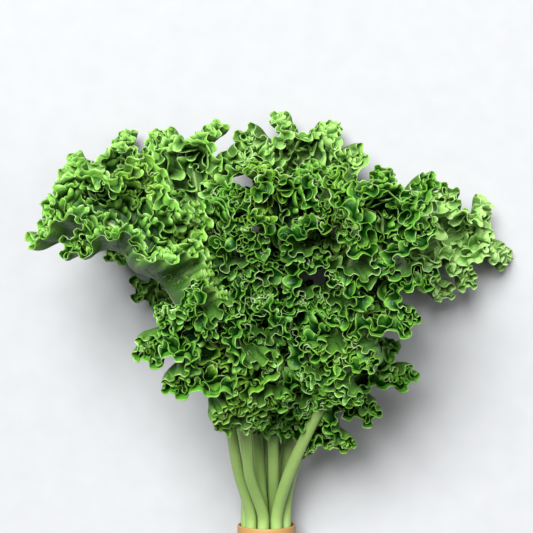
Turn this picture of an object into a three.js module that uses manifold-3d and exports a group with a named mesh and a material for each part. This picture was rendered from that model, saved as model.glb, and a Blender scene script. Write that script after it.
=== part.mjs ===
// A bunch of curly kale, lying on a table, in millimetres, +Z up.
// The stalks lie along Y with their cut ends towards -Y, held by a rubber band, and the leaves fan out
// towards +Y in layers. Each leaf is a tapered stalk, which runs on as the midrib, and a thin blade whose
// overgrown margin folds into large ruffles. The leaves on top also carry a cupped frill on their blades.

import * as THREE from "three";
import { mergeVertices } from "three/addons/utils/BufferGeometryUtils.js";
import Module from "manifold-3d";

const wasm = await Module();
wasm.setup();

// Driving dimensions.
const CUT_END_Y = -45; // cut ends of the stalks, from the middle of the band
const STALK_RADIUS_AT_CUT = 4.6;
const STALK_RADIUS_AT_BLADE = 3.8;
const STALK_RADIUS_AT_TIP = 1.1;
const STALK_SIDES = 6;
const STALK_RINGS = 13;
const RIB_SHARE = 0.84; // how far up the blade the midrib runs
const BLADE_THICKNESS = 1.2;
const BLADE_GAP = 0.35; // between a blade and its midrib or a neighbouring leaf
const BAND_INNER_RADIUS = 19.6;
const BAND_THICKNESS = 1.7;
const BAND_WIDTH = 7;
const OUTER_SLOTS = 9; // stalks round the outside of the bundle
const OUTER_SLOT_RADIUS = 14.6;
const INNER_SLOTS = 3; // stalks in the middle of the bundle
const INNER_SLOT_RADIUS = 5.55;
const BUNDLE_HEIGHT = BAND_INNER_RADIUS + BAND_THICKNESS;
const TABLE_CLEARANCE = 0.3; // lowest the middle of a blade comes to the table

// Ruffles. The fold is the largest angle that the margin turns through from its mean direction.
const FOLD = 1.55;
const FOLD_START = 0.03; // share of the way out to the margin
const FOLD_FULL = 0.85;
const ROLL_START = 0.05; // the margin rolls up to stand on the blade
const ROLL_END = 0.62;
const ROLL_STEPS = 16;
const TIP_SHARE = 0.25; // share of the outline, each side of the tip, where it rolls less
const TIP_FLATTENING = 0.6;
const FULL_FOLD_RAY = 34; // rays from midrib to margin shorter than this fold less

// Mesh of a blade: share of the way out, and columns for each wave.
const BLADE_ROWS = [
  { out: 0.0, columns: 1 },
  { out: 0.3, columns: 2 },
  { out: 0.6, columns: 4 },
  { out: 1.0, columns: 8 },
];

// Frill that stands on the upper face of the top leaves, along one row of the blade's mesh.
const FRILLED_SLOTS = [1, 2, 3]; // the leaves on top of the bunch
const FRILL_ROW = 1;
const FRILL_HEIGHT = 13;
const FRILL_THICKNESS = 0.9;
const FRILL_DEPTH = 0.25; // foot, below the middle of the sheet
const FRILL_LEAN = 0.4; // from the blade's normal towards the margin
const FRILL_FOLD = 1.25;
const FRILL_COLUMNS = 2; // columns for each cup
const WELD = 0.002; // points closer than this are one
const MARGIN_SAMPLES = 600;
const BASE_TRIM = 0.03; // share of the outline left open each side of the stalk

// Each leaf: its slot in the bundle, the midrib's points after the band, the side that the upper face is
// turned to at the base and at the tip, and the blade's size. Curl is the angle that the margin rolls
// through, towards the upper face where it is positive.
const LEAVES = [
  {
    name: "left_front",
    slot: 3,
    path: [
      [-20, 48, 52],
      [-26, 85, 71],
      [-37, 124, 90],
      [-57, 163, 104],
      [-80, 198, 110],
      [-105, 221, 110],
      [-122, 227, 104],
    ],
    faceBase: [0.7, 0.1, -0.3],
    faceTip: [0.0, 0.35, 0.95],
    length: 168,
    halfWidth: 50,
    curl: 1.35,
    waves: 12,
    phase: 0.4,
  },
  {
    name: "low_front",
    slot: 2,
    path: [
      [-12, 45, 58],
      [-14, 75, 78],
      [-19, 107, 100],
      [-30, 133, 118],
      [-43, 151, 128],
      [-52, 161, 134],
    ],
    faceBase: [0.1, 0.1, 1],
    faceTip: [0, -0.3, 1],
    length: 114,
    halfWidth: 50,
    curl: 1.5,
    waves: 10,
    phase: 1.9,
  },
  {
    name: "right_front",
    slot: 1,
    path: [[17, 48, 54], [36, 92, 78], [57, 136, 96], [71, 177, 106], [77, 210, 112], [78, 232, 118]],
    faceBase: [0, 0.3, 1],
    faceTip: [0, -0.2, 1],
    length: 176,
    halfWidth: 50,
    curl: 1.6,
    waves: 14,
    phase: 0.9,
  },
  {
    name: "left_mid",
    slot: 10,
    path: [[-5, 44, 34], [-10, 97, 48], [-23, 148, 58], [-34, 190, 66], [-39, 224, 72]],
    faceBase: [0, 0.2, 1],
    faceTip: [0, -0.3, 1],
    length: 140,
    halfWidth: 46,
    curl: 1.5,
    waves: 11,
    phase: 0.7,
  },
  {
    name: "low_centre",
    slot: 9,
    path: [[5, 46, 42], [5, 84, 56], [9, 116, 66], [15, 138, 70], [18, 157, 74]],
    faceBase: [0, 0.2, 1],
    faceTip: [0, -0.3, 1],
    length: 104,
    halfWidth: 42,
    curl: 1.4,
    waves: 9,
    phase: 2.2,
  },
  {
    name: "centre",
    slot: 11,
    path: [[-2, 59, 28], [1, 111, 42], [5, 162, 58], [9, 204, 66], [11, 240, 72]],
    faceBase: [0, 0.3, 1],
    faceTip: [0, -0.3, 1],
    length: 154,
    halfWidth: 48,
    curl: 1.5,
    waves: 12,
    phase: 2.7,
  },
  {
    name: "low_right",
    slot: 0,
    path: [[17, 38, 35], [26, 62, 42], [40, 87, 49], [56, 111, 56], [70, 134, 62]],
    faceBase: [0, 0, 1],
    faceTip: [-0.2, -0.3, 1],
    length: 104,
    halfWidth: 42,
    curl: 1.35,
    waves: 9,
    phase: 1.1,
  },
  {
    name: "upper_left",
    slot: 4,
    path: [[-13, 59, 28], [-22, 111, 38], [-35, 179, 44], [-46, 226, 46], [-53, 267, 50]],
    faceBase: [0, 0.2, 1],
    faceTip: [0, -0.5, 1],
    length: 150,
    halfWidth: 50,
    curl: 1.4,
    waves: 10,
    phase: 3.3,
  },
  {
    name: "left_back",
    slot: 5,
    path: [[-17, 49, 12], [-30, 93, 5.8], [-60, 164, 3.4], [-88, 226, 2.5], [-106, 263, 8]],
    faceBase: [0, 0, 1],
    faceTip: [0.2, -0.4, 1],
    length: 150,
    halfWidth: 50,
    curl: 1.4,
    waves: 10,
    phase: 5.1,
  },
  {
    name: "top_back",
    slot: 6,
    path: [[-3, 56, 8], [4, 123, 3.8], [13, 190, 3.2], [22, 244, 3.6], [28, 277, 10]],
    faceBase: [0, 0, 1],
    faceTip: [0, -0.4, 1],
    length: 154,
    halfWidth: 56,
    curl: 1.4,
    waves: 11,
    phase: 0.2,
  },
  {
    name: "upper_right",
    slot: 8,
    path: [[16, 59, 26], [33, 117, 32], [53, 176, 36], [68, 216, 38], [73, 241, 44]],
    faceBase: [0, 0.2, 1],
    faceTip: [0, -0.4, 1],
    length: 136,
    halfWidth: 50,
    curl: 1.4,
    waves: 10,
    phase: 4.4,
  },
  {
    name: "far_right",
    slot: 7,
    path: [[13, 56, 9], [38, 112, 4], [71, 168, 3.5], [113, 205, 4.2], [148, 220, 10]],
    faceBase: [0, 0, 1],
    faceTip: [-0.3, -0.3, 1],
    length: 122,
    halfWidth: 48,
    curl: 1.3,
    waves: 9,
    phase: 5.3,
  },
];

const GREEN = { color: 0x3f7a2c, roughness: 0.55, metalness: 0 };
const PALE_GREEN = { color: 0x9db86e, roughness: 0.5, metalness: 0 };
const RUBBER = { color: 0xb98a52, roughness: 0.7, metalness: 0 };

// The first Bessel functions, as short series, give the shape of a curve whose direction swings
// evenly from side to side: the folded margin of a sheet that grew longer than its root.
function swingSeries(fold) {
  const f2 = fold * fold;
  const mean = 1 - f2 / 4 + (f2 * f2) / 64 - (f2 * f2 * f2) / 2304;
  const height = fold * (1 - f2 / 8 + (f2 * f2) / 192 - (f2 * f2 * f2) / 9216);
  const lean = (f2 / 8) * (1 - f2 / 12 + (f2 * f2) / 384);
  return { mean, height: height / mean, lean: lean / mean };
}

function smoothStep(from, to, value) {
  const share = Math.min(1, Math.max(0, (value - from) / (to - from)));
  return share * share * (3 - 2 * share);
}

// The outline of a flat blade, from the base up one side (turn -1) round the tip (0) and back (1).
function outlinePoint(leaf, turn) {
  const side = Math.sign(turn) || 1;
  const share = Math.abs(turn);
  const across = leaf.halfWidth * Math.pow(Math.sin(Math.PI * Math.pow(share, 0.8)), 0.75);
  const along = (leaf.length / 2) * (1 + Math.cos(Math.PI * Math.pow(share, 1.15)));
  return { across: side * across, along };
}

// Table of turns at even distances along the margin.
function evenTurns(leaf) {
  const limit = 1 - BASE_TRIM;
  const turns = [];
  const distances = [0];
  let last = null;
  for (let i = 0; i <= MARGIN_SAMPLES; i++) {
    const turn = -limit + (2 * limit * i) / MARGIN_SAMPLES;
    const point = outlinePoint(leaf, turn);
    turns.push(turn);
    if (last) {
      const step = Math.hypot(point.across - last.across, point.along - last.along);
      distances.push(distances[i - 1] + step);
    }
    last = point;
  }
  return { turns, distances, total: distances[MARGIN_SAMPLES] };
}

function turnAt(table, share) {
  const wanted = share * table.total;
  let i = 1;
  while (i < MARGIN_SAMPLES && table.distances[i] < wanted) i++;
  const before = table.distances[i - 1];
  const part = (wanted - before) / (table.distances[i] - before);
  return table.turns[i - 1] + (table.turns[i] - table.turns[i - 1]) * part;
}

// A stalk's place in the bundle. The inner ones lie in the notches between the outer ones.
function slotPoint(slot, y) {
  const inner = slot >= OUTER_SLOTS;
  const angle = inner
    ? (2 * Math.PI * (slot - OUTER_SLOTS)) / INNER_SLOTS
    : (2 * Math.PI * (slot + 0.5)) / OUTER_SLOTS;
  const radius = inner ? INNER_SLOT_RADIUS : OUTER_SLOT_RADIUS;
  return new THREE.Vector3(
    radius * Math.cos(angle),
    y,
    BUNDLE_HEIGHT + radius * Math.sin(angle),
  );
}

function midribCurve(leaf) {
  const start = CUT_END_Y + 3 * Math.sin(5 * leaf.phase);
  const points = [start, -16, 0, 12].map((y) => slotPoint(leaf.slot, y));
  leaf.path.forEach((p) => points.push(new THREE.Vector3(...p)));
  const curve = new THREE.CatmullRomCurve3(points, false, "centripetal");
  curve.arcLengthDivisions = 400;
  return curve;
}

// Point, forward, side and upper-face directions at a distance along the midrib from the blade's base.
function midribFrame(leaf, along) {
  const { curve, total, base } = leaf.rib;
  const at = Math.min(1, (base + along) / total);
  const point = curve.getPointAt(at);
  const forward = curve.getTangentAt(at);
  const blend = smoothStep(0, 1, along / (leaf.length * RIB_SHARE));
  const face = new THREE.Vector3(...leaf.faceBase)
    .normalize()
    .lerp(new THREE.Vector3(...leaf.faceTip).normalize(), blend);
  const up = face.addScaledVector(forward, -face.dot(forward)).normalize();
  const side = forward.clone().cross(up);
  return { point, forward, side, up };
}

// A point of the ruffled blade. share is the place along the margin from 0 to 1, out the share of the
// way from the midrib to the margin. The ray from the midrib rolls up, so that its outer part stands on
// the blade, and the wave swings the sheet from side to side about the ray.
function bladePoint(leaf, share, out) {
  const turn = turnAt(leaf.margin, share);
  const edge = outlinePoint(leaf, turn);
  const root = RIB_SHARE * edge.along;
  const ray = Math.hypot(edge.across, edge.along - root);
  const frame = midribFrame(leaf, root);
  const outward = frame.side
    .clone()
    .multiplyScalar(edge.across / ray)
    .addScaledVector(frame.forward, (edge.along - root) / ray);
  const along = outward.clone().cross(frame.up);

  const turns = 2 * Math.PI * share;
  const phase =
    leaf.waves * turns +
    leaf.phase +
    0.7 * Math.sin(2.3 * turns + 3 * leaf.phase) +
    0.25 * Math.sin(0.61 * leaf.waves * turns + 7 * leaf.phase);
  const nearTip = Math.exp(-((turn / TIP_SHARE) ** 2));
  const unevenness = 1 + 0.15 * Math.sin(0.43 * leaf.waves * turns + 2 * leaf.phase);
  const curl = leaf.curl * unevenness * (1 - TIP_FLATTENING * nearTip);
  const point = frame.point.clone();
  const step = (ray * out) / ROLL_STEPS;
  for (let i = 0; i < ROLL_STEPS; i++) {
    const roll = curl * smoothStep(ROLL_START, ROLL_END, (out * (i + 0.5)) / ROLL_STEPS);
    point.addScaledVector(outward, step * Math.cos(roll)).addScaledVector(frame.up, step * Math.sin(roll));
  }
  const roll = curl * smoothStep(ROLL_START, ROLL_END, out);
  const normal = frame.up.clone().multiplyScalar(Math.cos(roll)).addScaledVector(outward, -Math.sin(roll));

  const variation = 1 + 0.1 * Math.sin(0.77 * leaf.waves * turns + 5 * leaf.phase);
  const strength = Math.min(1, ray / FULL_FOLD_RAY) * smoothStep(FOLD_START, FOLD_FULL, out);
  const swing = swingSeries(FOLD * variation * strength);
  const scale = leaf.margin.total / leaf.waves / (2 * Math.PI);
  point.addScaledVector(normal, -scale * swing.height * Math.cos(phase));
  point.addScaledVector(along, scale * swing.lean * Math.sin(2 * phase));
  point.z = Math.max(point.z, TABLE_CLEARANCE);
  return point;
}

// The blade's middle surface: its points, its rows of point numbers and its triangles.
function bladeSheet(leaf) {
  const points = [];
  const rows = BLADE_ROWS.map(({ out, columns }) => {
    const count = columns * leaf.waves;
    const row = [];
    for (let i = 0; i <= count; i++) {
      const mirrored = out === 0 && i > count / 2;
      if (mirrored) {
        row.push(row[count - i]);
        continue;
      }
      row.push(points.length);
      points.push(bladePoint(leaf, i / count, out));
    }
    return row;
  });
  const sheet = [];
  for (let r = 0; r + 1 < rows.length; r++) {
    const inner = rows[r];
    const outer = rows[r + 1];
    const ratio = (outer.length - 1) / (inner.length - 1);
    for (let i = 0; i + 1 < inner.length; i++) {
      const a = inner[i];
      const b = inner[i + 1];
      if (ratio === 1) {
        sheet.push([a, outer[i], outer[i + 1]], [a, outer[i + 1], b]);
      } else {
        const [p, q, s] = [outer[2 * i], outer[2 * i + 1], outer[2 * i + 2]];
        sheet.push([a, p, q], [a, q, b], [b, q, s]);
      }
    }
  }
  return { points, rows, sheet: sheet.filter((t) => new Set(t).size === 3) };
}

// The middle surface of the frill: a foot along one row of the blade, and a rim that swings through cups.
function frillSheet(leaf, { points, rows, sheet }) {
  const normals = meanNormals(points, sheet);
  const foot = rows[FRILL_ROW];
  const count = foot.length - 1;
  const feet = foot.map((i) => points[i]);
  const frill = [];
  feet.forEach((point, j) => {
    const along = feet[Math.min(count, j + 1)].clone().sub(feet[Math.max(0, j - 1)]);
    const spacing = along.length() / 2;
    along.normalize();
    const normal = normals[foot[j]].clone().negate();
    const outward = normal.clone().cross(along).normalize();
    const upright = normal
      .clone()
      .multiplyScalar(Math.cos(FRILL_LEAN))
      .addScaledVector(outward, Math.sin(FRILL_LEAN));
    const share = j / count;
    const ends = smoothStep(0, 0.06, share) * (1 - smoothStep(0.94, 1, share));
    const height = FRILL_HEIGHT * (0.3 + 0.7 * ends) * (1 + 0.15 * Math.sin(2.3 * j + leaf.phase));
    const swing = swingSeries(FRILL_FOLD * ends);
    const scale = (FRILL_COLUMNS * spacing) / (2 * Math.PI);
    const across = along.clone().cross(upright);
    const rim = point
      .clone()
      .addScaledVector(upright, height)
      .addScaledVector(across, scale * swing.height * Math.cos((2 * Math.PI * j) / FRILL_COLUMNS));
    rim.z = Math.max(rim.z, TABLE_CLEARANCE);
    frill.push(point.clone().addScaledVector(normal, -FRILL_DEPTH), rim);
  });
  const triangles = [];
  for (let j = 0; j < count; j++) {
    const [a, b, c, d] = [2 * j, 2 * j + 1, 2 * j + 2, 2 * j + 3];
    triangles.push([a, c, d], [a, d, b]);
  }
  return { points: frill, sheet: triangles };
}

// A leaf's blade with its frill, each thicker by a margin on both faces.
function bladeSolid(leaf, margin) {
  const middle = bladeSheet(leaf);
  const blade = solidOf(closedSheet(middle.points, middle.sheet, BLADE_THICKNESS + 2 * margin));
  if (!FRILLED_SLOTS.includes(leaf.slot)) return blade;
  const frill = frillSheet(leaf, middle);
  return blade.add(solidOf(closedSheet(frill.points, frill.sheet, FRILL_THICKNESS + 2 * margin)));
}

// The mean normal of the triangles round each point, weighted by their angles there.
function meanNormals(points, sheet) {
  const normals = points.map(() => new THREE.Vector3());
  for (const corners of sheet) {
    const [a, b, c] = corners.map((i) => points[i]);
    const normal = b.clone().sub(a).cross(c.clone().sub(a)).normalize();
    corners.forEach((corner, i) => {
      const next = points[corners[(i + 1) % 3]].clone().sub(points[corner]);
      const before = points[corners[(i + 2) % 3]].clone().sub(points[corner]);
      normals[corner].addScaledVector(normal, next.angleTo(before));
    });
  }
  return normals.map((n) => n.normalize());
}

// Gives a sheet its thickness: two faces, and a wall along each edge that only one triangle has.
function closedSheet(points, sheet, thickness) {
  const count = points.length;
  const normals = meanNormals(points, sheet);
  const positions = [];
  for (const side of [0.5, -0.5]) {
    points.forEach((point, i) => {
      const p = point.clone().addScaledVector(normals[i], side * thickness);
      positions.push(p.x, p.y, p.z);
    });
  }
  const index = [];
  const edges = new Map();
  for (const [a, b, c] of sheet) {
    index.push(a, b, c, c + count, b + count, a + count);
    for (const [s, e] of [[a, b], [b, c], [c, a]]) {
      if (!edges.delete(`${e}_${s}`)) edges.set(`${s}_${e}`, [s, e]);
    }
  }
  for (const [s, e] of edges.values()) {
    index.push(s, s + count, e, e, s + count, e + count);
  }
  const geometry = new THREE.BufferGeometry();
  geometry.setAttribute("position", new THREE.Float32BufferAttribute(positions, 3));
  geometry.setIndex(index);
  return geometry;
}

// The stalk and midrib: rings carried along the curve, growing thinner to the tip.
function stalkGeometry(leaf, extraRadius) {
  const { curve, total, base } = leaf.rib;
  const end = base + leaf.length * RIB_SHARE * 0.97;
  const positions = [];
  const index = [];
  for (let r = 0; r < STALK_RINGS; r++) {
    const share = r / (STALK_RINGS - 1);
    const distance = end * share;
    const at = Math.min(1, distance / total);
    const middle = curve.getPointAt(at);
    const frame = midribFrame(leaf, distance - base);
    const radius = extraRadius + stalkRadius(distance, base, end);
    for (let s = 0; s < STALK_SIDES; s++) {
      const angle = (2 * Math.PI * s) / STALK_SIDES;
      const p = middle
        .clone()
        .addScaledVector(frame.side, radius * Math.cos(angle))
        .addScaledVector(frame.up, radius * Math.sin(angle));
      positions.push(p.x, p.y, p.z);
    }
  }
  for (let r = 0; r + 1 < STALK_RINGS; r++) {
    for (let s = 0; s < STALK_SIDES; s++) {
      const a = r * STALK_SIDES + s;
      const b = r * STALK_SIDES + ((s + 1) % STALK_SIDES);
      index.push(a, b, b + STALK_SIDES, a, b + STALK_SIDES, a + STALK_SIDES);
    }
  }
  const last = (STALK_RINGS - 1) * STALK_SIDES;
  for (let s = 1; s + 1 < STALK_SIDES; s++) {
    index.push(0, s + 1, s, last, last + s, last + s + 1);
  }
  const geometry = new THREE.BufferGeometry();
  geometry.setAttribute("position", new THREE.Float32BufferAttribute(positions, 3));
  geometry.setIndex(index);
  return geometry;
}

function stalkRadius(distance, base, end) {
  if (distance < base) {
    return THREE.MathUtils.lerp(STALK_RADIUS_AT_CUT, STALK_RADIUS_AT_BLADE, distance / base);
  }
  const share = (distance - base) / (end - base);
  return THREE.MathUtils.lerp(STALK_RADIUS_AT_BLADE, STALK_RADIUS_AT_TIP, share);
}

// A closed three.js geometry as a solid, facing out.
function solidOf(geometry) {
  const plain = geometry.clone();
  plain.deleteAttribute("normal");
  plain.deleteAttribute("uv");
  const merged = mergeVertices(plain, 1e-4);
  const mesh = (triVerts) =>
    new wasm.Manifold(
      new wasm.Mesh({ numProp: 3, vertProperties: merged.attributes.position.array, triVerts }),
    );
  const solid = mesh(new Uint32Array(merged.index.array));
  if (solid.volume() > 0) return solid;
  const turned = new Uint32Array(merged.index.array);
  for (let i = 0; i < turned.length; i += 3) {
    [turned[i + 1], turned[i + 2]] = [turned[i + 2], turned[i + 1]];
  }
  return mesh(turned);
}

// A solid as a three.js geometry. Points closer than WELD are joined, and slivers between them dropped.
function geometryOf(solid) {
  const { vertProperties, triVerts, numProp } = solid.getMesh();
  const count = vertProperties.length / numProp;
  const positions = new Float32Array(count * 3);
  for (let i = 0; i < count; i++) {
    positions.set(vertProperties.subarray(i * numProp, i * numProp + 3), i * 3);
  }
  const geometry = new THREE.BufferGeometry();
  geometry.setAttribute("position", new THREE.BufferAttribute(positions, 3));
  geometry.setIndex(new THREE.BufferAttribute(triVerts, 1));
  const welded = mergeVertices(geometry, WELD);
  const corners = welded.index.array;
  const kept = [];
  for (let i = 0; i < corners.length; i += 3) {
    const [a, b, c] = corners.subarray(i, i + 3);
    if (a !== b && b !== c && c !== a) kept.push(a, b, c);
  }
  welded.setIndex(kept);
  return welded;
}

function largestBody(solid) {
  return solid.decompose().reduce((best, s) => (s.volume() > best.volume() ? s : best));
}

function namedMesh(name, geometry, look) {
  const flat = geometry.toNonIndexed();
  flat.computeVertexNormals();
  const mesh = new THREE.Mesh(flat, new THREE.MeshStandardMaterial(look));
  mesh.name = name;
  return mesh;
}

// The rubber band round the stalks.
function bandMesh() {
  const inner = BAND_INNER_RADIUS;
  const outer = inner + BAND_THICKNESS;
  const half = BAND_WIDTH / 2;
  const edge = 0.5;
  const profile = [
    [inner, -half],
    [outer - edge, -half],
    [outer, -half + edge],
    [outer, half - edge],
    [outer - edge, half],
    [inner, half],
    [inner, -half],
  ].map(([r, y]) => new THREE.Vector2(r, y));
  const mesh = new THREE.Mesh(
    new THREE.LatheGeometry(profile, 28),
    new THREE.MeshStandardMaterial(RUBBER),
  );
  mesh.name = "band";
  mesh.position.z = BUNDLE_HEIGHT;
  return mesh;
}

const bunch = new THREE.Group();
bunch.add(bandMesh());
for (const leaf of LEAVES) {
  const curve = midribCurve(leaf);
  const total = curve.getLength();
  leaf.rib = { curve, total, base: total - leaf.length * RIB_SHARE };
  leaf.margin = evenTurns(leaf);
  leaf.stalk = solidOf(stalkGeometry(leaf, 0));
  leaf.stalkRoom = solidOf(stalkGeometry(leaf, BLADE_GAP));
}
const placed = [];
for (const leaf of LEAVES) {
  let blade = bladeSolid(leaf, 0);
  const room = bladeSolid(leaf, BLADE_GAP);
  for (const other of LEAVES) blade = blade.subtract(other.stalkRoom);
  for (const other of placed) blade = blade.subtract(other);
  blade = largestBody(blade.trimByPlane([0, 0, 1], 0));
  placed.push(room, blade);
  bunch.add(namedMesh(`${leaf.name}_blade`, geometryOf(blade), GREEN));
  bunch.add(namedMesh(`${leaf.name}_stalk`, geometryOf(leaf.stalk), PALE_GREEN));
}

// The origin is at the middle of the bunch's box, on the table.
bunch.updateMatrixWorld(true);
const box = new THREE.Box3().setFromObject(bunch, true);
const middle = box.getCenter(new THREE.Vector3());
bunch.children.forEach((mesh) => mesh.position.sub(new THREE.Vector3(middle.x, middle.y, box.min.z)));

export default bunch;
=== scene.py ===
"""Visual model of a bunch of curly kale lying on a pale table.

Every blade is one thin sheet. It is drawn flat as a fan from the midrib to the margin, rolled up, and then
folded by a cascade of waves: large ruffles, the cups that ride on them, and crimps along the rim. Rows of
cupped frill stand on its upper face. Its stalk runs on as the midrib, and a rubber band holds the stalks.
"""

import logging
import math
from dataclasses import dataclass, field
from enum import Enum

import bpy
import numpy as np
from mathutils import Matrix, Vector

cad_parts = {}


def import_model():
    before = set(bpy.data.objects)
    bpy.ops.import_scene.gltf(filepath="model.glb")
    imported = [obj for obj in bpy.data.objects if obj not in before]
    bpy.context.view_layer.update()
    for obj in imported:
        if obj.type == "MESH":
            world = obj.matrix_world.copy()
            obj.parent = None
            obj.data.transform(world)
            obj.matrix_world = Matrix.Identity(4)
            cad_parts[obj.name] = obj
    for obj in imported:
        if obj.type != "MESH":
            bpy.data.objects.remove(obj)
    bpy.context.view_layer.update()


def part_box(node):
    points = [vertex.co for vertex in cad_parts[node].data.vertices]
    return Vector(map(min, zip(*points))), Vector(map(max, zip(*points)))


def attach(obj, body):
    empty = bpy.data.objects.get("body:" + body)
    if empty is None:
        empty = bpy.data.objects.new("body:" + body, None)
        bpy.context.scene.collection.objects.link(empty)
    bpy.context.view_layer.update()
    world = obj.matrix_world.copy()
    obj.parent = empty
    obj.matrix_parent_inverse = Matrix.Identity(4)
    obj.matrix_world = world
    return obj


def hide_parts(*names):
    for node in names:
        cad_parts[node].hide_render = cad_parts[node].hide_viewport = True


LOG = logging.getLogger("kale")
MM = 0.001

Triple = tuple[float, float, float]
Socket = bpy.types.NodeSocket

# The bundle of stalks, in millimetres from the middle of the band.
CUT_END_Y = -45.0
CUT_END_SPREAD = 3.0  # how far a cut end may lie from there, either way
CUT_END_SHIFT = 5  # times the leaf's phase, which sets where it lies
STRAIGHT_TO_Y = (-16, 0, 12)
STALK_RADII = (4.6, 3.8, 1.1)  # at the cut, under the blade, and at the end of the midrib
BAND_INNER_RADIUS = 19.6
BAND_THICKNESS = 1.7
BAND_WIDTH = 7.0
OUTER_SLOTS = 9
OUTER_SLOT_RADIUS = 14.6
INNER_SLOTS = 3
INNER_SLOT_RADIUS = 5.55
BUNDLE_HEIGHT = BAND_INNER_RADIUS + BAND_THICKNESS
CROWN_MIDDLE_Y = 192.6  # middle of the picture
TABLE_CLEARANCE = 0.4  # lowest the middle of a sheet comes to the table

# The flat outline of a blade. The powers set its widest place, its fullness and the shape of its tip.
RIB_SHARE = 0.84  # of the blade's length that the midrib runs along
BASE_TRIM = 0.03  # share of the outline left open each side of the stalk
MARGIN_SAMPLES = 1200
WIDEST_POWER = 0.8
FULLNESS_POWER = 0.75
TIP_POWER = 1.15

# The roll of a blade, between two shares of the way out to the margin. It is less near the tip.
ROLL_START = 0.05
ROLL_END = 0.62
ROLL_STEPS = 16
TIP_SHARE = 0.25
TIP_FLATTENING = 0.6
FULL_FOLD_RAY = 34.0  # rays from midrib to margin shorter than this fold less

# How a sheet thins towards its rim, from a share of the way out.
RIM_START = 0.7
RIM_THINNING = 0.7

# Columns of the looks of a leaf's vertices, after its flat place across and along.
OUT = 2
EDGE = 3
UPPER = 4

MOTTLE = "mottle"  # name of the node group that mottles a colour
TINY = 1e-12  # keeps a length of nothing from dividing


class Slot(Enum):
    """Material slots of the part."""

    BLADE = "blade"
    STALK = "stalk"
    BAND = "band"


class Layer(Enum):
    """Where a leaf lies in the bunch: on top, or under other leaves."""

    TOP = "top"
    UNDER = "under"


@dataclass(frozen=True)
class FoldLevel:
    """One level of the folds in a sheet.

    Attributes:
        per_parent: waves for each wave of the level before.
        fold: largest angle, in radians, that the sheet turns through.
        start: share of the way out, or up, where it starts.
        full: share where it is fully grown.
        offset: phase added, in radians.
    """

    per_parent: float
    fold: float
    start: float
    full: float
    offset: float


@dataclass(frozen=True)
class Drift:
    """Slow sine that keeps the folds along a leaf from being alike.

    Attributes:
        size: how far the sine swings.
        rate: its waves for each wave that it changes.
        shift: how many times the leaf's own phase is added.
    """

    size: float
    rate: float
    shift: float

    def along(self, turns: np.ndarray, waves: float, phase: float) -> np.ndarray:
        """Gives size * sin(rate * waves * turns + shift * phase)."""
        return self.size * np.sin(self.rate * waves * turns + self.shift * phase)


BLADE_FOLDS = (
    FoldLevel(1, 1.55, 0.03, 0.85, 0.0),
    FoldLevel(6, 1.15, 0.2, 0.95, 1.1),
    FoldLevel(3, 0.5, 0.6, 1.0, math.pi),
)
RUFFLE_SPREAD = Drift(0.7, 2.3, 3)  # along the whole margin
RUFFLE_SPACING = Drift(0.25, 0.61, 7)
RUFFLE_DEPTH = Drift(0.1, 0.77, 5)
ROLL_UNEVENNESS = Drift(0.15, 0.43, 2)


@dataclass(frozen=True)
class LeafForm:
    """Sizes and place of one leaf, in millimetres, from the middle of the band.

    Attributes:
        name: name of the leaf.
        slot: number of its place in the bundle.
        path: points of the midrib's curve after the band.
        face_base: direction of the upper face at the base of the blade.
        face_tip: direction of the upper face at its tip.
        length: length of the flat blade.
        half_width: half of its width.
        curl: angle, in radians, that the margin rolls through.
        waves: large ruffles round the margin.
        phase: phase of the first ruffle.
        tone: how pale the leaf is: partly its own tone, partly painted shade on leaves lying under others
            and painted backlight on pale leaves at the back.
        layer: where it lies in the bunch.
        frill: size of its frill's cups. The frill's height goes by the square root of it.
    """

    name: str
    slot: int
    path: tuple[Triple, ...]
    face_base: Triple
    face_tip: Triple
    length: float
    half_width: float
    curl: float
    waves: int
    phase: float
    tone: float
    layer: Layer
    frill: float = 0.88


# Each leaf's tone is partly its own and partly painted light: low values paint shade on the leaves that
# lie under others, high ones paint backlight on the pale leaves at the back.
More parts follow.
